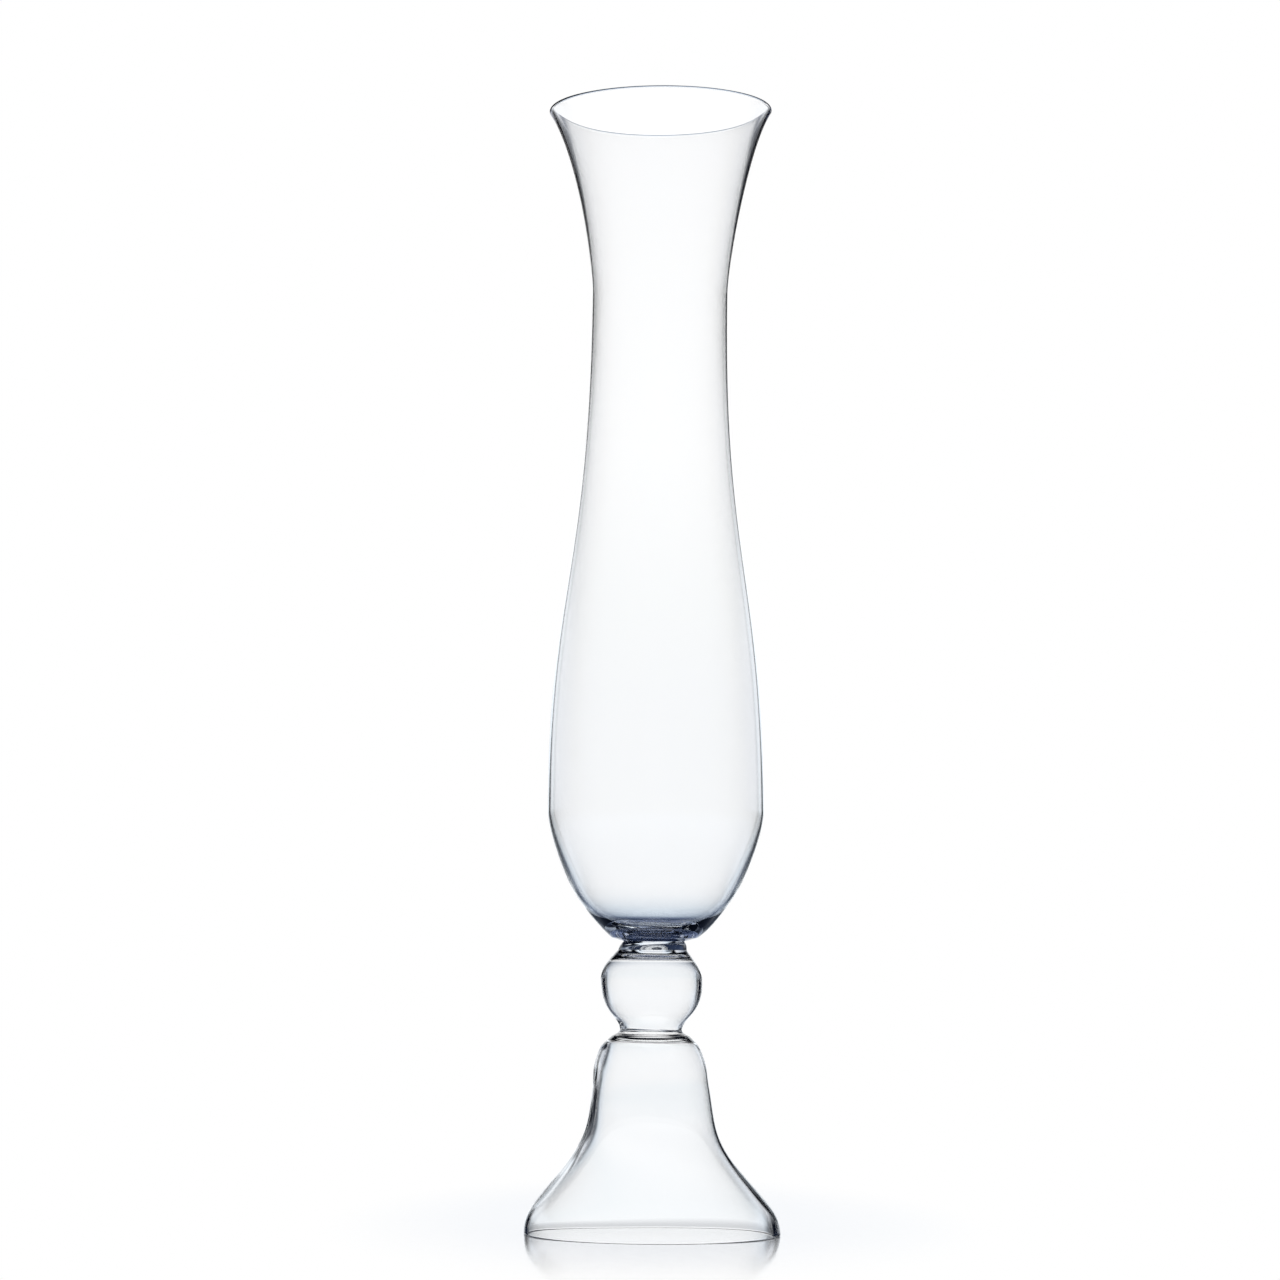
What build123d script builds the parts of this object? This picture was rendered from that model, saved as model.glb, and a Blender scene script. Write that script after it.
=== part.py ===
from build123d import *
import os

# A tall clear glass trumpet vase, blown and joined hot from five pieces.
# From the table up: an open bell foot, a thin disc, a hollow ball, a thicker disc and a long
# bowl that swells at the belly, draws in at the throat and flares to the mouth.
# Millimetres and degrees. The origin is the middle of the foot's ring, on the table, +Z up.
#
# Each piece is turned about the upright axis from an outline of smooth stretches that run
# between stations. A station has a radius, a height above its own piece's base, the wall's
# thickness and the heading of the glass: 0 points outward, 90 straight up, 180 to the axis.

# Bell foot
foot_height = 105.6
ring_radius = 68.8
ring_wall = 2.8
ring_edge_radius = 0.8  # rounds both edges of the flat land that stands on the table
ring_heading = 91.5
flare_radius = 48.1
flare_height = 33.8
flare_wall = 3.0
flare_heading = 130
waist_radius = 31.3
waist_height = 77.7
waist_wall = 1.65
waist_heading = 98.5
shoulder_radius = 27.4
shoulder_height = 97.8
shoulder_wall = 2.4
shoulder_heading = 113
foot_crown_radius = 20.4  # flat round top that carries the lower disc
foot_crown_heading = 140
foot_crown_thickness = 1.3

# Lower disc, between the foot and the ball
lower_disc_thickness = 2.9
lower_disc_bottom_heading = 150
lower_disc_top_heading = 112

# Hollow ball, open below at its neck
ball_height = 43.0
neck_radius = 16.6
neck_wall = 1.8
neck_heading = 86.5
equator_radius = 27.3
equator_height = 26.3
equator_wall = 2.0
ball_crown_radius = 18.4  # flat round top that carries the upper disc
ball_crown_heading = 127
ball_crown_thickness = 3.9

# Upper disc, between the ball and the bowl
upper_disc_thickness = 4.5
upper_disc_bottom_heading = 100
upper_disc_top_heading = 134

# Bowl
bowl_height = 454.0
bowl_land_radius = 16.3  # flat round underside that sits on the upper disc
base_corner_radius = 22.9  # where the underside turns up into the side
base_corner_height = 1.85
base_corner_heading = 34
floor_thickness = 2.8
hip_radius = 43.7
hip_height = 26.1
hip_wall = 2.6
hip_heading = 58
belly_radius = 58.2
belly_height = 70.0
belly_wall = 1.1
throat_radius = 36.9
throat_height = 350.0
throat_wall = 0.9
mouth_radius = 60.7
mouth_heading = 57
lip_radius = 1.4  # the fire-polished lip is a half round of this radius

# Headings that need no choice
outward = 0
upright = 90
inward = 180

# How far the handles reach along their headings at a stretch's two ends, as shares of its chord
quarter_round_shares = (0.39, 0.39)
ring_to_flare_shares = (0.28, 0.61)
flare_to_waist_shares = (0.49, 0.40)
waist_to_shoulder_shares = (0.38, 0.50)
shoulder_to_crown_shares = (0.33, 0.24)
foot_ceiling_shares = (0.30, 0.70)
disc_side_shares = (0.40, 0.40)
neck_to_equator_shares = (0.26, 0.62)
equator_to_crown_shares = (0.36, 0.42)
ball_ceiling_shares = (0.64, 0.56)
corner_to_hip_shares = (0.32, 0.10)
hip_to_belly_shares = (0.20, 0.24)
floor_to_hip_shares = (0.42, 0.43)
belly_to_throat_shares = (0.44, 0.52)
throat_to_mouth_shares = (0.21, 0.22)
throat_to_lip_inside_shares = (0.14, 0.23)


def along(heading):
    """One unit along a heading, in the XZ plane."""
    return Vector(1, 0, 0).rotate(Axis.Y, -heading)


class Station:
    """A place on a piece's side: its outer point, its inner point and the heading there."""

    def __init__(self, radius, height, heading, wall=0):
        self.heading = heading
        self.outer = Vector(radius, 0, height)
        self.inner = self.outer + along(heading + upright) * wall


def bend(start, start_heading, end, end_heading, shares):
    """One smooth stretch that leaves its start and reaches its end along their headings."""
    chord = (end - start).length
    start_handle = start + along(start_heading) * (chord * shares[0])
    end_handle = end - along(end_heading) * (chord * shares[1])
    return Bezier(start, start_handle, end_handle, end)


def outer_bend(low, high, shares):
    return bend(low.outer, low.heading, high.outer, high.heading, shares)


def inner_bend(low, high, shares):
    return bend(low.inner, low.heading, high.inner, high.heading, shares)


def turned(edges, base):
    """Turns a closed outline about the upright axis and lifts the piece to its base."""
    return Pos(0, 0, base) * revolve(make_face(edges), Axis.Z)


def bell_foot():
    """An open bell: its ring stands on the table and its closed crown carries the rest."""
    ring = Station(ring_radius, ring_edge_radius, ring_heading, ring_wall)
    flare = Station(flare_radius, flare_height, flare_heading, flare_wall)
    waist = Station(waist_radius, waist_height, waist_heading, waist_wall)
    shoulder = Station(shoulder_radius, shoulder_height, shoulder_heading, shoulder_wall)
    crown = Station(foot_crown_radius, foot_height, foot_crown_heading)
    top = Vector(0, 0, foot_height)
    ceiling = Vector(0, 0, foot_height - foot_crown_thickness)
    land_out = Vector(ring.outer.X - ring_edge_radius, 0, 0)
    land_in = Vector(ring.inner.X + ring_edge_radius, 0, 0)
    outline = [
        Line(land_in, land_out),
        bend(land_out, outward, ring.outer, ring_heading, quarter_round_shares),
        outer_bend(ring, flare, ring_to_flare_shares),
        outer_bend(flare, waist, flare_to_waist_shares),
        outer_bend(waist, shoulder, waist_to_shoulder_shares),
        outer_bend(shoulder, crown, shoulder_to_crown_shares),
        Line(crown.outer, top),
        Line(top, ceiling),
        bend(shoulder.inner, shoulder_heading, ceiling, inward, foot_ceiling_shares),
        inner_bend(waist, shoulder, waist_to_shoulder_shares),
        inner_bend(flare, waist, flare_to_waist_shares),
        inner_bend(ring, flare, ring_to_flare_shares),
        bend(ring.inner, ring_heading + inward, land_in, outward, quarter_round_shares),
    ]
    return turned(outline, 0)


def disc(bottom_radius, bottom_heading, top_radius, top_heading, thickness, base):
    """A solid disc whose side runs between the outlines of the pieces below and above."""
    bottom = Station(bottom_radius, 0, bottom_heading)
    top = Station(top_radius, thickness, top_heading)
    outline = [
        Line((0, 0, 0), bottom.outer),
        outer_bend(bottom, top, disc_side_shares),
        Line(top.outer, (0, 0, thickness)),
        Line((0, 0, thickness), (0, 0, 0)),
    ]
    return turned(outline, base)


def ball_knop(base):
    """A hollow ball with a thicker crown. Its open neck stands on the lower disc."""
    neck = Station(neck_radius, 0, neck_heading)
    neck_in = Vector(neck_radius - neck_wall, 0, 0)
    equator = Station(equator_radius, equator_height, upright, equator_wall)
    crown = Station(ball_crown_radius, ball_height, ball_crown_heading)
    top = Vector(0, 0, ball_height)
    ceiling = Vector(0, 0, ball_height - ball_crown_thickness)
    outline = [
        Line(neck_in, neck.outer),
        outer_bend(neck, equator, neck_to_equator_shares),
        outer_bend(equator, crown, equator_to_crown_shares),
        Line(crown.outer, top),
        Line(top, ceiling),
        bend(equator.inner, upright, ceiling, inward, ball_ceiling_shares),
        bend(neck_in, neck_heading, equator.inner, upright, neck_to_equator_shares),
    ]
    return turned(outline, base)


def trumpet_bowl(base):
    """The long bowl: a closed floor, a thin side and a rounded lip."""
    corner = Station(base_corner_radius, base_corner_height, base_corner_heading)
    hip = Station(hip_radius, hip_height, hip_heading, hip_wall)
    belly = Station(belly_radius, belly_height, upright, belly_wall)
    throat = Station(throat_radius, throat_height, upright, throat_wall)
    lip_middle = Vector(mouth_radius - lip_radius, 0, bowl_height - lip_radius)
    lip_out = lip_middle + along(mouth_heading - upright) * lip_radius
    lip_top = lip_middle + along(mouth_heading) * lip_radius
    lip_in = lip_middle + along(mouth_heading + upright) * lip_radius
    middle = Vector(0, 0, 0)
    land = Vector(bowl_land_radius, 0, 0)
    floor = Vector(0, 0, floor_thickness)
    outline = [
        Line(middle, land),
        Line(land, corner.outer),
        outer_bend(corner, hip, corner_to_hip_shares),
        outer_bend(hip, belly, hip_to_belly_shares),
        outer_bend(belly, throat, belly_to_throat_shares),
        bend(throat.outer, upright, lip_out, mouth_heading, throat_to_mouth_shares),
        ThreePointArc(lip_out, lip_top, lip_in),
        bend(throat.inner, upright, lip_in, mouth_heading, throat_to_lip_inside_shares),
        inner_bend(belly, throat, belly_to_throat_shares),
        inner_bend(hip, belly, hip_to_belly_shares),
        bend(floor, outward, hip.inner, hip_heading, floor_to_hip_shares),
        Line(floor, middle),
    ]
    return turned(outline, base)


# The pieces stand on one another, face to face
ball_base = foot_height + lower_disc_thickness
upper_disc_base = ball_base + ball_height
bowl_base = upper_disc_base + upper_disc_thickness

pieces = {
    "bell_foot": bell_foot(),
    "lower_disc": disc(
        foot_crown_radius,
        lower_disc_bottom_heading,
        neck_radius,
        lower_disc_top_heading,
        lower_disc_thickness,
        foot_height,
    ),
    "ball_knop": ball_knop(ball_base),
    "upper_disc": disc(
        ball_crown_radius,
        upper_disc_bottom_heading,
        bowl_land_radius,
        upper_disc_top_heading,
        upper_disc_thickness,
        upper_disc_base,
    ),
    "trumpet_bowl": trumpet_bowl(bowl_base),
}

os.makedirs("parts", exist_ok=True)
for name, piece in pieces.items():
    export_step(piece, "parts/" + name + ".step")
    print(name, "volume", round(piece.volume), "top", round(piece.bounding_box().max.Z, 3))
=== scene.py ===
# A tall clear glass trumpet vase: bell foot, joining discs, hollow ball and long flared bowl.
# Every piece is a surface turned about the upright axis from a profile of smooth stretches.
# Sizes in the dictionaries are millimetres and degrees; the scene itself is in metres.
import math
import bpy
import numpy as np
from mathutils import Matrix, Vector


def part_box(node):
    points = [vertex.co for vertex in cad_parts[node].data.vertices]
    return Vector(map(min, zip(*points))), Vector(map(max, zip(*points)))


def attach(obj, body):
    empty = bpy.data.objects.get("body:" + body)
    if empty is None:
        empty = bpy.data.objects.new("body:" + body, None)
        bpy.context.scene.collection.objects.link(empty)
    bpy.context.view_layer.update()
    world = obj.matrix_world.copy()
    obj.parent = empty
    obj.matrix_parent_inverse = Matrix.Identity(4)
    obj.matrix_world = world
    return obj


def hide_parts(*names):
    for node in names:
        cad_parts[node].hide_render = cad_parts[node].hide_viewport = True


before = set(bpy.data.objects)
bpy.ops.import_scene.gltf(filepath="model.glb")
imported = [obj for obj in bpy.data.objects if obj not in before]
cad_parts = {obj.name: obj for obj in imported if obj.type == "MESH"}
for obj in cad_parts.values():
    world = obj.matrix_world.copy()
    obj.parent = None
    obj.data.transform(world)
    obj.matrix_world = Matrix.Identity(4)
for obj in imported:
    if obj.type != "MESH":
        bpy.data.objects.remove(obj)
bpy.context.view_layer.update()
mm = 0.001
print("frame loaded:", ", ".join(sorted(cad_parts)))

# Heights of the joints between the pieces, read from the frame in millimetres
baseOf = {name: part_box(name)[0].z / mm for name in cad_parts}
topOf = {name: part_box(name)[1].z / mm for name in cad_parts}


# One unit along a heading: (cos h, sin h). A heading is 0 outward, 90 up and 180 to the axis.
def along(heading):
    return np.array([math.cos(math.radians(heading)), math.sin(math.radians(heading))])


# Even steps from 0 to 1 with one extra step close to each end, which keeps corners crisp
def steps(count, crisp=0.01):
    return np.concatenate([[0, crisp], np.linspace(0, 1, count + 2)[1:-1], [1 - crisp, 1]])


# A cubic curve: each end's handle runs along its heading by a share of the chord.
# Point(t) = (1-t)^3 start + 3(1-t)^2 t startHandle + 3(1-t) t^2 endHandle + t^3 end
def bend(start, startHeading, end, endHeading, shares, count):
    start, end = np.array(start, float), np.array(end, float)
    chord = np.linalg.norm(end - start)
    startHandle = start + along(startHeading) * chord * shares[0]
    endHandle = end - along(endHeading) * chord * shares[1]
    t = steps(count)[:, None]
    return ((1 - t) ** 3 * start + 3 * (1 - t) ** 2 * t * startHandle
            + 3 * (1 - t) * t ** 2 * endHandle + t ** 3 * end)


# A straight stretch: point(t) = start + t (end - start)
def straight(start, end, count):
    start, end = np.array(start, float), np.array(end, float)
    return start + steps(count)[:, None] * (end - start)


# An arc about a middle: point(a) = middle + radius (cos a, sin a)
def arc(middle, radius, fromHeading, toHeading, count):
    a = np.radians(fromHeading + steps(count) * (toHeading - fromHeading))
    return np.array(middle) + radius * np.stack([np.cos(a), np.sin(a)], axis=1)


# A place on a side: outer = (r, h), inner = outer + wall along (heading + 90), and the heading
def station(radius, height, heading, wall=0):
    outer = np.array([radius, height], float)
    return outer, outer + along(heading + 90) * wall, heading


# The outer side between two stations, by the formula of bend
def outerBend(low, high, shares, count):
    return bend(low[0], low[2], high[0], high[2], shares, count)


# The inner side between two stations, by the formula of bend
def innerBend(low, high, shares, count):
    return bend(low[1], low[2], high[1], high[2], shares, count)


# How the hand-worked axis strays from upright, and the cavity from the outer wall, by height
straying = {
    "axis": [(0, 0.0), (20, -0.8), (40, -1.4), (60, -1.05), (80, -1.35), (95, -1.95), (108, -1.45),
             (132, -1.2), (150, -1.1), (160, 0.4), (168, 0.45), (200, 0.35), (260, 0.1), (350, 0.1),
             (450, 0.2), (540, 0.8), (575, 0.75), (610, 0.1)],
    "cavity": [(0, -0.6), (14, -0.5), (36, 0.8), (55, 1.0), (74, 0.75), (92, 1.05), (112, 0.3),
               (132, 0.1), (160, 0.15), (230, 0.1), (500, 0.0), (610, 0.2)],
    "mouthTilt": 0.0112, "tiltFrom": 540, "mouthReach": 60.4,
}


# A value along a height, on a smooth curve through its stations. Between two stations with values
# a, b and bends m, n it is a v + b u + ((v^3 - v) m + (u^3 - u) n) span^2 / 6, with u + v = 1, where
# the bends keep the slope even at each station.
def eased(heights, stations):
    levels, values = np.array(stations, float).T
    span = np.diff(levels)
    slopes = np.diff(values) / span
    matrix = np.eye(len(levels))
    inside = np.arange(1, len(levels) - 1)
    matrix[inside, inside - 1] = span[:-1]
    matrix[inside, inside] = 2 * (span[:-1] + span[1:])
    matrix[inside, inside + 1] = span[1:]
    target = np.zeros(len(levels))
    target[inside] = 6 * np.diff(slopes)
    bends = np.linalg.solve(matrix, target)
    low = np.clip(np.searchsorted(levels, heights) - 1, 0, len(levels) - 2)
    u = (np.clip(heights, levels[0], levels[-1]) - levels[low]) / span[low]
    v = 1 - u
    return (values[low] * v + values[low + 1] * u
            + ((v ** 3 - v) * bends[low] + (u ** 3 - u) * bends[low + 1]) * span[low] ** 2 / 6)


# Turns a profile about the upright axis. Its first and last points lie on the axis, and each
# stretch is (how far inside it starts and ends, its material slot, its points).
# Vertex(i, j) = (r_i cos a_j + stray_i, r_i sin a_j, h_i + lean_i (x - reach)), where
# a_j = 2 pi j / segments and the lean grows as 3 u^2 - 2 u^3 towards the mouth.
def turned(name, stretches, base, segments):
    rows, inside, flat = [], [], []
    for side, slot, points in stretches:
        first = 1 if rows else 0
        rows.append(points[first:])
        inside.append(np.linspace(side[0], side[1], len(points))[first:])
        flat.append(np.full(len(points) - 1, slot))
    profile = np.concatenate(rows) + [0, base]
    inside, flat = np.concatenate(inside), np.concatenate(flat)
    stray = eased(profile[:, 1], straying["axis"]) + eased(profile[:, 1], straying["cavity"]) * inside
    tilted = topOf["trumpet_bowl"] - straying["tiltFrom"]
    risen = np.clip((profile[:, 1] - straying["tiltFrom"]) / tilted, 0, 1)
    lean = straying["mouthTilt"] * risen * risen * (3 - 2 * risen)
    radius, height = profile[1:-1, 0], profile[1:-1, 1]
    angle = np.linspace(0, 2 * np.pi, segments, endpoint=False)
    x = radius[:, None] * np.cos(angle) + stray[1:-1, None]
    y = radius[:, None] * np.sin(angle)
    z = height[:, None] + lean[1:-1, None] * (x - straying["mouthReach"])
    rings = np.stack([x, y, z], axis=2).reshape(-1, 3)
    poles = [[stray[0], 0, profile[0, 1]], [stray[-1], 0, profile[-1, 1]]]
    vertices = np.concatenate([rings, poles]) * mm
    # Quads between neighbouring rings, and a fan of triangles at each pole
    count = len(radius)
    here = np.arange(segments)
    there = (here + 1) % segments
    row = (np.arange(count - 1) * segments)[:, None]
    quads = np.stack([row + here, row + there, row + segments + there, row + segments + here],
                     axis=2).reshape(-1, 4)
    firstFan = np.stack([np.full(segments, len(rings)), there, here], axis=1)
    last = (count - 1) * segments
    lastFan = np.stack([np.full(segments, len(rings) + 1), last + here, last + there], axis=1)
    mesh = bpy.data.meshes.new(name)
    mesh.from_pydata(vertices.tolist(), [], quads.tolist() + firstFan.tolist() + lastFan.tolist())
    mesh.shade_smooth()
    slots = np.concatenate([np.repeat(flat[1:-1], segments),
                            np.full(segments, flat[0]), np.full(segments, flat[-1])])
    mesh.polygons.foreach_set("material_index", slots.astype(np.int32))
    mesh.update()
    piece = bpy.data.objects.new(name, mesh)
    bpy.context.scene.collection.objects.link(piece)
    print(name, "faces", len(mesh.polygons))
    return piece


# How far inside the wall a stretch starts and ends, its material slot, and the steps of the flats
outer, inner, outerToInner, innerToOuter = (0, 0), (1, 1), (0, 1), (1, 0)
glass, joint = 0, 1
discSteps, rimSteps = 6, 4

# Bell foot. A station is (radius, height, heading, wall), but the ring's height is its edge's
# radius. A stretch between two stations is (its handles' shares, its steps).
footSizes = {
    "ring": (68.6, 91.5, 2.8), "ringEdge": 0.8,
    "flare": (48.1, 33.8, 130, 3.0), "waist": (31.3, 77.7, 98.5, 1.65),
    "shoulder": (27.4, 97.8, 113, 2.4), "crownRadius": 20.4, "crownHeading": 140,
    "crownThickness": 1.3, "segments": 288,
    "roundedEdge": ((0.39, 0.39), 7), "ringToFlare": ((0.28, 0.61), 32),
    "flareToWaist": ((0.49, 0.40), 32), "waistToShoulder": ((0.38, 0.50), 18),
    "shoulderToCrown": ((0.33, 0.24), 20), "ceilingToShoulder": ((0.70, 0.30), 34),
}


# The foot's profile: from its ceiling down the inside, under the ring and up the outside
def bellFoot(s):
    edge, top = s["ringEdge"], topOf["bell_foot"]
    ring = station(s["ring"][0], edge, s["ring"][1], s["ring"][2])
    flare, waist, shoulder = (station(*s[k]) for k in ("flare", "waist", "shoulder"))
    crown = station(s["crownRadius"], top, s["crownHeading"])
    ceiling = [0, top - s["crownThickness"]]
    landOut, landIn = [ring[0][0] - edge, 0], [ring[1][0] + edge, 0]
    stretches = [
        (inner, glass, bend(ceiling, 0, shoulder[1], shoulder[2] + 180, *s["ceilingToShoulder"])),
        (inner, glass, innerBend(waist, shoulder, *s["waistToShoulder"])[::-1]),
        (inner, glass, innerBend(flare, waist, *s["flareToWaist"])[::-1]),
        (inner, glass, innerBend(ring, flare, *s["ringToFlare"])[::-1]),
        (inner, glass, bend(ring[1], ring[2] + 180, landIn, 0, *s["roundedEdge"])),
        (innerToOuter, glass, straight(landIn, landOut, rimSteps)),
        (outer, glass, bend(landOut, 0, ring[0], ring[2], *s["roundedEdge"])),
        (outer, glass, outerBend(ring, flare, *s["ringToFlare"])),
        (outer, glass, outerBend(flare, waist, *s["flareToWaist"])),
        (outer, glass, outerBend(waist, shoulder, *s["waistToShoulder"])),
        (outer, glass, outerBend(shoulder, crown, *s["shoulderToCrown"])),
        (outer, joint, straight(crown[0], [0, top], discSteps)),
    ]
    return turned("bell_foot_glass", stretches, 0, s["segments"])


# Both joining discs. Each end is (radius, heading).
lowerDiscSizes = {
    "bottom": (footSizes["crownRadius"], 150), "top": (16.6, 112), "side": ((0.40, 0.40), 16),
    "segments": 192,
}
upperDiscSizes = {
    "bottom": (18.4, 100), "top": (16.3, 134), "side": ((0.40, 0.40), 16), "segments": 192,
}


# A disc's profile: out along its bottom, up its side and back in along its top
def joiningDisc(s, node):
    thickness = topOf[node] - baseOf[node]
    bottom = station(s["bottom"][0], 0, s["bottom"][1])
    top = station(s["top"][0], thickness, s["top"][1])
    stretches = [
        (outer, joint, straight([0, 0], bottom[0], discSteps)),
        (outer, glass, outerBend(bottom, top, *s["side"])),
        (outer, joint, straight(top[0], [0, thickness], discSteps)),
    ]
    return turned(node + "_glass", stretches, baseOf[node], s["segments"])


# Hollow ball
ballSizes = {
    "neck": (lowerDiscSizes["top"][0], 86.5), "neckWall": 1.8, "equator": (27.3, 26.3, 90, 2.0),
    "crownRadius": upperDiscSizes["bottom"][0], "crownHeading": 127, "crownThickness": 3.9,
    "neckToEquator": ((0.26, 0.62), 36), "equatorToCrown": ((0.36, 0.42), 30),
    "ceilingToEquator": ((0.56, 0.64), 40), "segments": 256,
}


# The ball's profile: from its ceiling down the inside, under the neck and up the outside
def ballKnop(s):
    top = topOf["ball_knop"] - baseOf["ball_knop"]
    neck = station(s["neck"][0], 0, s["neck"][1])
    neckIn = [s["neck"][0] - s["neckWall"], 0]
    equator = station(*s["equator"])
    crown = station(s["crownRadius"], top, s["crownHeading"])
    ceiling = [0, top - s["crownThickness"]]
    stretches = [
        (inner, glass, bend(ceiling, 0, equator[1], 270, *s["ceilingToEquator"])),
        (inner, glass, bend(neckIn, s["neck"][1], equator[1], 90, *s["neckToEquator"])[::-1]),
        (innerToOuter, joint, straight(neckIn, neck[0], rimSteps)),
        (outer, glass, outerBend(neck, equator, *s["neckToEquator"])),
        (outer, glass, outerBend(equator, crown, *s["equatorToCrown"])),
        (outer, joint, straight(crown[0], [0, top], discSteps)),
    ]
    return turned("ball_knop_glass", stretches, baseOf["ball_knop"], s["segments"])


# Bowl
bowlSizes = {
    "landRadius": upperDiscSizes["top"][0], "corner": (22.9, 1.85, 34), "floorThickness": 2.8,
    "hip": (43.7, 26.1, 58, 2.6), "belly": (58.2, 70.0, 90, 1.1), "throat": (36.9, 350.0, 90, 0.9),
    "mouthRadius": 60.7, "mouthHeading": 57, "lipRadius": 1.4, "lipSteps": 14, "segments": 288,
    "cornerToHip": ((0.32, 0.10), 22), "hipToBelly": ((0.20, 0.24), 24),
    "bellyToThroat": ((0.44, 0.52), 48), "throatToMouth": ((0.21, 0.22), 36),
    "throatToLipInside": ((0.14, 0.23), 36), "floorToHip": ((0.42, 0.43), 26),
}


# The bowl's profile: out along its underside, up the outside, over the lip and down the inside
def trumpetBowl(s):
    top, lip, flare = topOf["trumpet_bowl"] - baseOf["trumpet_bowl"], s["lipRadius"], s["mouthHeading"]
    corner, hip, belly, throat = (station(*s[k]) for k in ("corner", "hip", "belly", "throat"))
    lipMiddle = np.array([s["mouthRadius"] - lip, top - lip])
    lipOut, lipIn = lipMiddle + along(flare - 90) * lip, lipMiddle + along(flare + 90) * lip
    floor = [0, s["floorThickness"]]
    stretches = [
        (outer, joint, straight([0, 0], [s["landRadius"], 0], discSteps)),
        (outer, glass, straight([s["landRadius"], 0], corner[0], discSteps)),
        (outer, glass, outerBend(corner, hip, *s["cornerToHip"])),
        (outer, glass, outerBend(hip, belly, *s["hipToBelly"])),
        (outer, glass, outerBend(belly, throat, *s["bellyToThroat"])),
        (outer, glass, bend(throat[0], 90, lipOut, flare, *s["throatToMouth"])),
        (outerToInner, glass, arc(lipMiddle, lip, flare - 90, flare + 90, s["lipSteps"])),
        (inner, glass, bend(throat[1], 90, lipIn, flare, *s["throatToLipInside"])[::-1]),
        (inner, glass, innerBend(belly, throat, *s["bellyToThroat"])[::-1]),
        (inner, glass, innerBend(hip, belly, *s["hipToBelly"])[::-1]),
        (inner, glass, bend(floor, 0, hip[1], hip[2], *s["floorToHip"])[::-1]),
    ]
    return turned("trumpet_bowl_glass", stretches, baseOf["trumpet_bowl"], s["segments"])


pieces = {
    "bell_foot": bellFoot(footSizes),
    "lower_disc": joiningDisc(lowerDiscSizes, "lower_disc"),
    "ball_knop": ballKnop(ballSizes),
    "upper_disc": joiningDisc(upperDiscSizes, "upper_disc"),
    "trumpet_bowl": trumpetBowl(bowlSizes),
}


# One number or colour coming out of a node. Operators on it add Math nodes.
class Wire:
    def __init__(self, maker, socket):
        self.maker, self.socket = maker, socket

    def math(self, operation, *others):
        made = self.maker.node("ShaderNodeMath", {"operation": operation},
                               dict(enumerate((self,) + others)))
        return made["Value"]

    def __add__(self, other):
        return self.math("ADD", other)

    def __mul__(self, other):
        return self.math("MULTIPLY", other)

    def __sub__(self, other):
        return self.math("SUBTRACT", other)

    def __rsub__(self, other):
        return self.maker.node("ShaderNodeMath", {"operation": "SUBTRACT"}, {0: other, 1: self})["Value"]

    def __truediv__(self, other):
        return self.math("DIVIDE", other)

    def __pow__(self, other):
        return self.math("POWER", other)

    __radd__, __rmul__ = __add__, __mul__


# The outputs of a node, by name, as wires
class Outputs:
    def __init__(self, maker, made):
        self.maker, self.made = maker, made

    def __getitem__(self, name):
        return Wire(self.maker, self.made.outputs[name])


# Builds one node tree. A node's settings are set first, then its sockets' values or links.
class NodeMaker:
    def __init__(self, tree):
        self.tree = tree
        tree.nodes.clear()

    def node(self, kind, settings=None, inputs=None):
        made = self.tree.nodes.new(kind)
        for name, value in (settings or {}).items():
            if name == "stops":
                ramp = made.color_ramp
                while len(ramp.elements) < len(value):
                    ramp.elements.new(0.5)
                for element, (position, colour) in zip(ramp.elements, value):
                    element.position, element.color = position, colour
            else:
                setattr(made, name, value)
        for name, value in (inputs or {}).items():
            if isinstance(value, Wire):
                self.tree.links.new(value.socket, made.inputs[name])
            else:
                made.inputs[name].default_value = value
        return Outputs(self, made)


# A material with an empty node tree, and the maker that fills it
def newMaterial(name):
    material = bpy.data.materials.new(name)
    material.use_nodes = True
    return material, NodeMaker(material.node_tree)


# 3 u^2 - 2 u^3 between low and high, where u runs from 0 to 1
def eased01(make, value, low, high):
    return make.node("ShaderNodeMapRange", {"interpolation_type": "SMOOTHSTEP"},
                     {"Value": value, "From Min": low, "From Max": high})["Result"]


# The colour (1 - factor) first + factor second
def blended(make, factor, first, second):
    mixed = make.node("ShaderNodeMix", {"data_type": "RGBA"}, {0: factor, 6: first, 7: second})
    return Wire(make, mixed.made.outputs[2])


# Clear glass with faint waves drawn out upward. Light that reaches other things through it passes nearly
# straight. The heights are metres over the table: painted shade darkens the tint in the thick base of
# the bowl, most in a painted dark pool at its middle, and painted shade darkens the lip where it is seen
# edge on.
glassLook = {
    "tint": (0.997, 0.999, 1.0, 1), "streakTint": (0.992, 0.996, 1.0, 1), "ior": 1.5,
    "shadowTint": (0.85, 0.87, 0.90, 1), "waveDistance": 0.0004, "waveStrength": 0.04,
    "waveScale": 42, "waveDetail": 2, "waveDraw": (1, 1, 0.18),
    # Painted shade: the next two lines darken the thick base of the bowl, most in a pool at its middle
    "deepTint": (0.77, 0.825, 0.88, 1), "deepStarts": (0.150, 0.156), "deepEnds": (0.160, 0.186),
    "poolTint": (0.13, 0.16, 0.26, 1), "poolStarts": (0.155, 0.1565), "poolEnds": (0.1605, 0.1640),
    # Painted shade: the lip tint darkens the lip where it is seen edge on
    "lipTint": (0.01, 0.012, 0.03, 1), "lipRise": (0.584, 0.604), "lipGrazing": (0.66, 0.80),
}
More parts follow.
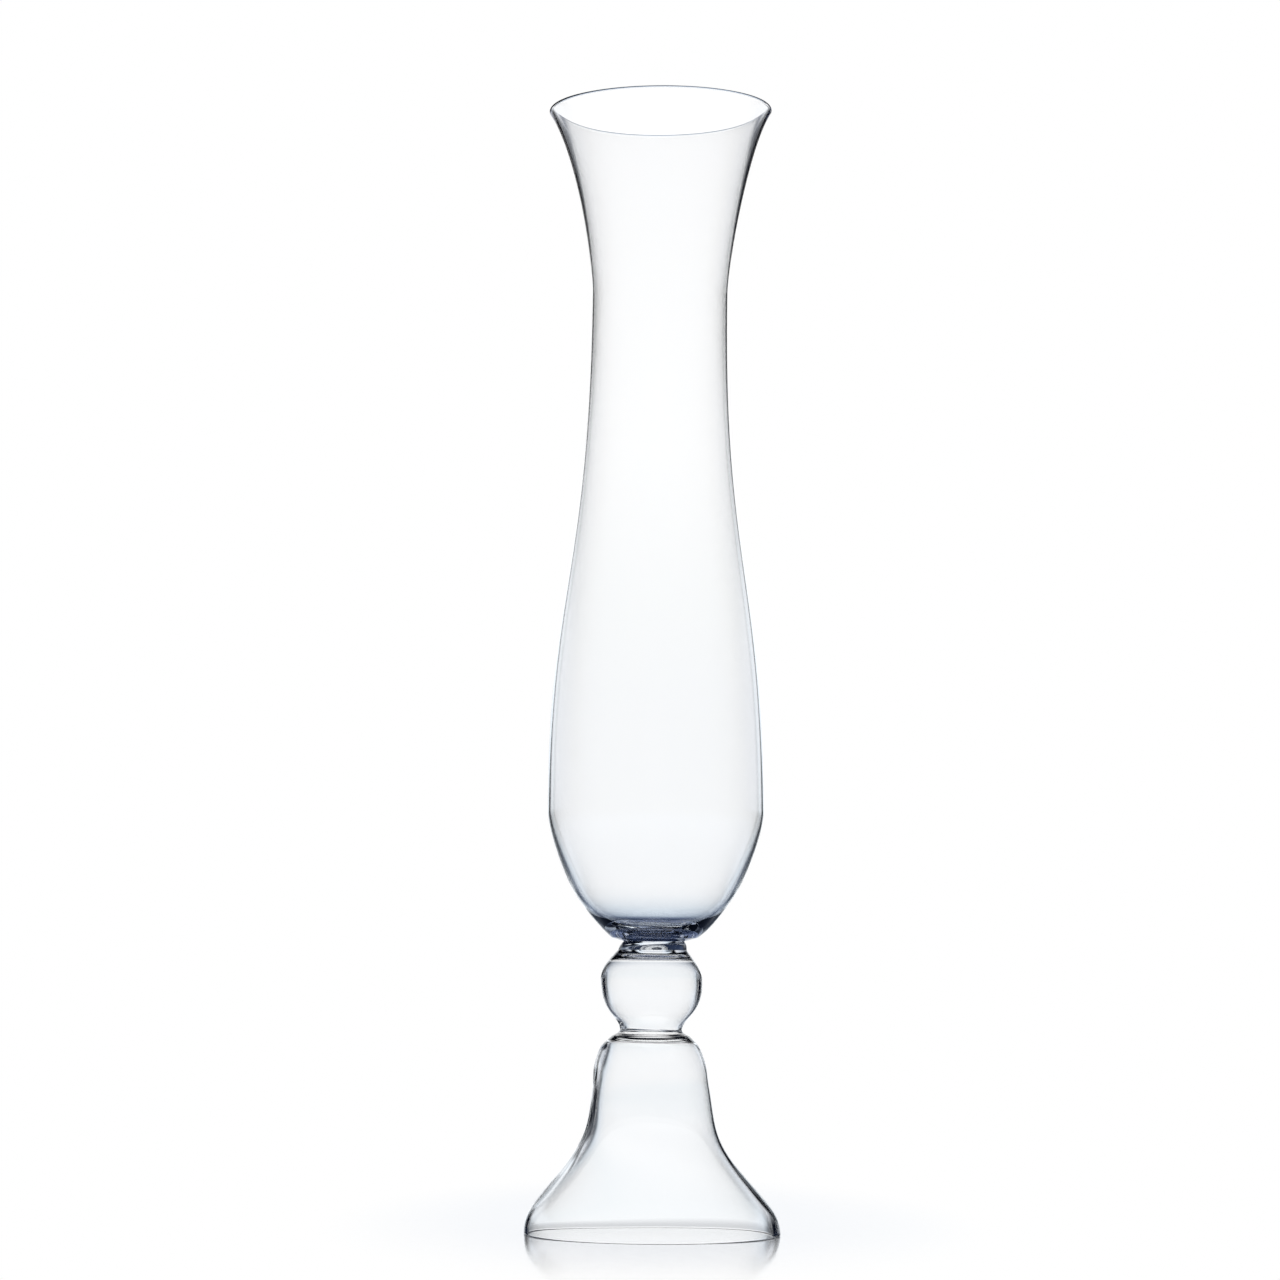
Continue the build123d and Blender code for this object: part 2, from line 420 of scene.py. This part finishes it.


# Tint = the streaks, then the painted shade of the base, the pool and the lip blended over them by
# height
def clearGlass(look):
    material, make = newMaterial("clear_glass")
    place = make.node("ShaderNodeTexCoord")["Object"]
    drawn = make.node("ShaderNodeMapping", {}, {"Vector": place, "Scale": look["waveDraw"]})["Vector"]
    waves = make.node("ShaderNodeTexNoise", {}, {"Vector": drawn, "Scale": look["waveScale"],
                                                 "Detail": look["waveDetail"]})["Fac"]
    bump = make.node("ShaderNodeBump", {}, {"Height": waves, "Strength": look["waveStrength"],
                                            "Distance": look["waveDistance"]})["Normal"]
    tint = blended(make, waves, look["tint"], look["streakTint"])
    up = make.node("ShaderNodeSeparateXYZ", {}, {0: place})["Z"]
    # Painted shade: a darker tint over the thick base of the bowl, and a dark pool at its middle
    baseShade = eased01(make, up, *look["deepStarts"]) * (1 - eased01(make, up, *look["deepEnds"]))
    tint = blended(make, baseShade, tint, look["deepTint"])
    poolShade = eased01(make, up, *look["poolStarts"]) * (1 - eased01(make, up, *look["poolEnds"]))
    tint = blended(make, poolShade, tint, look["poolTint"])
    # Painted shade: the lip is darkened where it is seen edge on
    grazing = make.node("ShaderNodeLayerWeight")["Facing"]
    lip = eased01(make, up, *look["lipRise"]) * eased01(make, grazing, *look["lipGrazing"])
    tint = blended(make, lip, tint, look["lipTint"])
    body = make.node("ShaderNodeBsdfPrincipled", {}, {
        "Base Color": tint, "Roughness": 0.0, "IOR": look["ior"],
        "Transmission Weight": 1.0, "Normal": bump})["BSDF"]
    clear = make.node("ShaderNodeBsdfTransparent", {}, {"Color": look["shadowTint"]})["BSDF"]
    path = make.node("ShaderNodeLightPath")
    passing = path["Is Shadow Ray"].math("MAXIMUM", path["Is Diffuse Ray"])
    surface = make.node("ShaderNodeMixShader", {}, {0: passing, 1: body, 2: clear})["Shader"]
    make.node("ShaderNodeOutputMaterial", {}, {"Surface": surface})
    return material


# Where two pieces are melted together there is no surface left to see
def meltedJoint():
    material, make = newMaterial("melted_joint")
    clear = make.node("ShaderNodeBsdfTransparent")["BSDF"]
    make.node("ShaderNodeOutputMaterial", {}, {"Surface": clear})
    return material


glassMaterial, jointMaterial = clearGlass(glassLook), meltedJoint()
for node, piece in pieces.items():
    piece.data.materials.append(glassMaterial)
    piece.data.materials.append(jointMaterial)
    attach(piece, "root")
    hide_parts(node)
print("glass pieces placed")

# Camera, at the photograph's viewing angle: below the mouth and a little above the foot
view = {"distance": 2070, "height": 157.7, "aside": -8.9, "pitchUp": 4.438, "roll": 0.44,
        "focalPixels": 3840, "framePixels": 1280, "sensor": 36}
cameraData = bpy.data.cameras.new("camera")
cameraData.sensor_width = view["sensor"]
cameraData.lens = view["focalPixels"] / view["framePixels"] * view["sensor"]
camera = bpy.data.objects.new("camera", cameraData)
bpy.context.scene.collection.objects.link(camera)
camera.matrix_world = (
    Matrix.Translation((view["aside"] * mm, -view["distance"] * mm, view["height"] * mm))
    @ Matrix.Rotation(math.radians(90 + view["pitchUp"]), 4, "X")
    @ Matrix.Rotation(math.radians(view["roll"]), 4, "Z"))
bpy.context.scene.camera = camera

# Studio: a white sweep stands behind the vase. Pale flanks stand beside it at middle heights, and
# the rest of the room is dark. The rig turns with the camera, so the vase is lit alike from all
# sides. Only the glass and the gloss of the floor see it. Heights and distances are metres, angles
# are degrees from straight behind the vase, and the sides' stops are shares of a half turn.
studio = {
    "reach": 1.5, "height": 2.6, "sections": 144, "floorRadius": 3.0, "floorSections": 96,
    "sweep": [(0.0, (1.04, 1.07, 1.09, 1)), (0.11, (1.10, 1.11, 1.12, 1)),
              (0.38, (1.11, 1.12, 1.13, 1)), (0.47, (1.13, 1.14, 1.14, 1)),
              (0.61, (1.18, 1.18, 1.18, 1)), (0.80, (1.17, 1.17, 1.17, 1)),
              (0.95, (1.16, 1.16, 1.165, 1))],
    "sweepAside": 1.0, "sweepAngle": 15.5, "sweepWider": 8.0, "widerFrom": (0.2, 0.42),
    "widerTo": (0.58, 0.76), "sweepSoft": 3.0, "sweepTop": (1.08, 1.25),
    "screen": (0.002, 0.003, 0.008, 1),
    "sidesRise": (0.12, 0.34), "sidesFall": (0.56, 0.74),
    "edgeTint": (0.86, 0.93, 1.0, 1), "tintFrom": (7, 17), "tintUpTo": (0.3, 0.8),
    "sides": [(0.15, (0.0, 0.0, 0.0, 1)), (0.172, (0.85, 0.88, 0.93, 1)),
              (0.23, (0.62, 0.66, 0.72, 1)), (0.29, (0.38, 0.41, 0.47, 1)),
              (0.37, (0.13, 0.15, 0.20, 1)), (0.45, (0.0, 0.0, 0.0, 1))],
    "fadeBack": -0.045, "fadeOval": 0.45, "floorFade": (0.08, 0.19),
    "floorColour": (0.97, 0.97, 0.975, 1), "floorShine": (0.86, 0.865, 0.88, 1),
    "floorGloss": 0.85, "floorRoughness": 0.07,
    "mirrorFrom": (0.48, 0.93), "mirrorNear": (0.08, 0.24), "mirrorLeast": 0.7,
    # Painted light and shade of the floor as the glass sees it: pale under the foot, a contact shadow at
    # the ring, dim further out
    "floorUnder": [(0.0, (0.80, 0.80, 0.80, 1)), (0.425, (0.78, 0.80, 0.82, 1)),
                   (0.433, (0.02, 0.03, 0.06, 1)), (0.58, (0.03, 0.045, 0.09, 1)),
                   (0.675, (0.08, 0.11, 0.18, 1)), (0.76, (0.25, 0.32, 0.44, 1)),
                   (1.0, (0.55, 0.66, 0.82, 1))],
    "underPower": 0.27,
    "bounces": 24, "glossyBounces": 8,
}


# A mesh that belongs to the studio and not to the object
def stageMesh(name, vertices, faces):
    mesh = bpy.data.meshes.new(name)
    mesh.from_pydata(vertices, [], faces)
    made = bpy.data.objects.new(name, mesh)
    bpy.context.scene.collection.objects.link(made)
    return made


rig = bpy.data.objects.new("light_rig", None)
bpy.context.scene.collection.objects.link(rig)
facing = rig.constraints.new("LOCKED_TRACK")
facing.target, facing.track_axis, facing.lock_axis = camera, "TRACK_NEGATIVE_Y", "LOCK_Z"


# A drum round the vase with a flat lid: vertex(i, j) = (reach cos a_j, reach sin a_j, height i)
def drum(name, reach, heights, sections):
    a = np.linspace(0, 2 * np.pi, sections, endpoint=False)
    rings = [np.stack([reach * np.cos(a), reach * np.sin(a), np.full(sections, h)], axis=1)
             for h in heights]
    here = np.arange(sections)
    there = (here + 1) % sections
    side = np.stack([here, here + sections, there + sections, there], axis=1).tolist()
    lid = [(here + sections).tolist()]
    return stageMesh(name, np.concatenate(rings).tolist(), side + lid)


surround = drum("surround", studio["reach"], (0, studio["height"]), studio["sections"])

# The floor is one round face: vertex(j) = (radius cos a_j, radius sin a_j, 0)
turns = np.linspace(0, 2 * np.pi, studio["floorSections"], endpoint=False)
floorEdge = np.stack([studio["floorRadius"] * np.cos(turns), studio["floorRadius"] * np.sin(turns),
                      np.zeros(len(turns))], axis=1)
floor = stageMesh("floor", floorEdge.tolist(), [list(range(len(turns)))])
surround.parent = floor.parent = rig
surround.visible_camera = surround.visible_diffuse = surround.visible_shadow = False


# How far a place lies from straight behind the vase, in degrees: |atan2(x, y) + aside|
def behindAngle(split):
    turn = split["X"].math("ARCTAN2", split["Y"]) * (180 / math.pi)
    return (turn + studio["sweepAside"]).math("ABSOLUTE")


# Brightness of the drum: the sweep, the pale flanks beside it at middle heights and the dark room
def surroundLight():
    material, make = newMaterial("surround")
    split = make.node("ShaderNodeSeparateXYZ", {}, {0: make.node("ShaderNodeTexCoord")["Object"]})
    angle, up = behindAngle(split), split["Z"]
    wider = eased01(make, up, *studio["widerFrom"]) * (1 - eased01(make, up, *studio["widerTo"]))
    sweepEdge = studio["sweepAngle"] + studio["sweepWider"] * wider
    soft = studio["sweepSoft"]
    within = 1 - eased01(make, angle - sweepEdge, -soft, soft)
    within = within * (1 - eased01(make, up, *studio["sweepTop"]))
    beside = eased01(make, up, *studio["sidesRise"]) * (1 - eased01(make, up, *studio["sidesFall"]))
    white = make.node("ShaderNodeValToRGB", {"stops": studio["sweep"]}, {"Fac": up})["Color"]
    low = 1 - eased01(make, up, *studio["tintUpTo"])
    tinted = low * eased01(make, angle, *studio["tintFrom"])
    cool = blended(make, tinted, (1, 1, 1, 1), studio["edgeTint"])
    white = make.node("ShaderNodeVectorMath", {"operation": "MULTIPLY"}, {0: white, 1: cool})["Vector"]
    sides = make.node("ShaderNodeValToRGB", {"stops": studio["sides"]}, {"Fac": angle / 180})["Color"]
    colour = blended(make, within, blended(make, beside, studio["screen"], sides), white)
    light = make.node("ShaderNodeEmission", {}, {"Color": colour})["Emission"]
    make.node("ShaderNodeOutputMaterial", {}, {"Surface": light})
    return material


# The camera sees a pale floor with a soft gloss that fades into the white far from the vase. The glass
# sees the steep parts of the floor as a glowing ramp of painted light and shade, and mirrors the sweep
# at grazing angles. The ramp runs over the distance as (d / reach) ^ power: painted light under the
# foot, a painted contact shadow where the ring stands and painted dim floor from the ring outward.
def paleFloor():
    material, make = newMaterial("pale_floor")
    place = make.node("ShaderNodeTexCoord")["Object"]
    far = make.node("ShaderNodeVectorMath", {"operation": "LENGTH"}, {0: place})["Value"]
    facing = make.node("ShaderNodeLayerWeight", {}, {"Blend": 0.5})["Facing"]
    grazing = eased01(make, facing, *studio["mirrorFrom"])
    least = studio["mirrorLeast"]
    nearby = least + (1 - least) * eased01(make, far, *studio["mirrorNear"])
    matt = make.node("ShaderNodeBsdfDiffuse", {}, {"Color": studio["floorColour"]})["BSDF"]
    shiny = make.node("ShaderNodeBsdfGlossy", {}, {"Color": studio["floorShine"],
                                                   "Roughness": studio["floorRoughness"]})["BSDF"]
    lit = make.node("ShaderNodeMixShader", {}, {0: grazing * studio["floorGloss"],
                                                1: matt, 2: shiny})["Shader"]
    clear = make.node("ShaderNodeBsdfTransparent")["BSDF"]
    oval = make.node("ShaderNodeMapping", {}, {"Vector": place, "Location": (0, studio["fadeBack"], 0),
                                               "Scale": (1, studio["fadeOval"], 1)})["Vector"]
    away = make.node("ShaderNodeVectorMath", {"operation": "LENGTH"}, {0: oval})["Value"]
    seen = make.node("ShaderNodeMixShader", {}, {0: eased01(make, away, *studio["floorFade"]),
                                                 1: lit, 2: clear})["Shader"]
    # Painted light and shade: the floor as the glass sees it glows pale under the foot, dark as a
    # contact shadow at the ring and dim beyond
    ramp = (far / studio["reach"]) ** studio["underPower"]
    paintedFloor = make.node("ShaderNodeValToRGB", {"stops": studio["floorUnder"]}, {"Fac": ramp})["Color"]
    paintedFloor = make.node("ShaderNodeEmission", {}, {"Color": paintedFloor})["Emission"]
    mirror = make.node("ShaderNodeBsdfGlossy", {}, {"Color": (1, 1, 1, 1), "Roughness": 0.0})["BSDF"]
    glassSees = make.node("ShaderNodeMixShader", {}, {0: grazing * nearby, 1: paintedFloor, 2: mirror})["Shader"]
    path = make.node("ShaderNodeLightPath")
    surface = make.node("ShaderNodeMixShader", {}, {0: path["Is Camera Ray"],
                                                    1: glassSees, 2: seen})["Shader"]
    make.node("ShaderNodeOutputMaterial", {}, {"Surface": surface})
    return material


for card, look in ((surround, surroundLight()), (floor, paleFloor())):
    look.cycles.emission_sampling = "NONE"
    card.data.materials.append(look)

# The world: white to the camera and on the floor, the dark room to the glass
world = bpy.data.worlds.new("studio")
bpy.context.scene.world = world
world.use_nodes = True
make = NodeMaker(world.node_tree)
path = make.node("ShaderNodeLightPath")
bent = path["Is Transmission Ray"].math("MAXIMUM", path["Is Glossy Ray"])
white = make.node("ShaderNodeBackground", {}, {"Color": (1, 1, 1, 1)})["Background"]
room = make.node("ShaderNodeBackground", {}, {"Color": studio["screen"]})["Background"]
both = make.node("ShaderNodeMixShader", {}, {0: bent, 1: white, 2: room})["Shader"]
make.node("ShaderNodeOutputWorld", {}, {"Surface": both})

bpy.context.scene.view_settings.view_transform = "Standard"
cycles = bpy.context.scene.cycles
cycles.max_bounces = cycles.transmission_bounces = studio["bounces"]
cycles.transparent_max_bounces = studio["bounces"]
cycles.glossy_bounces = studio["glossyBounces"]
print("studio and camera set")
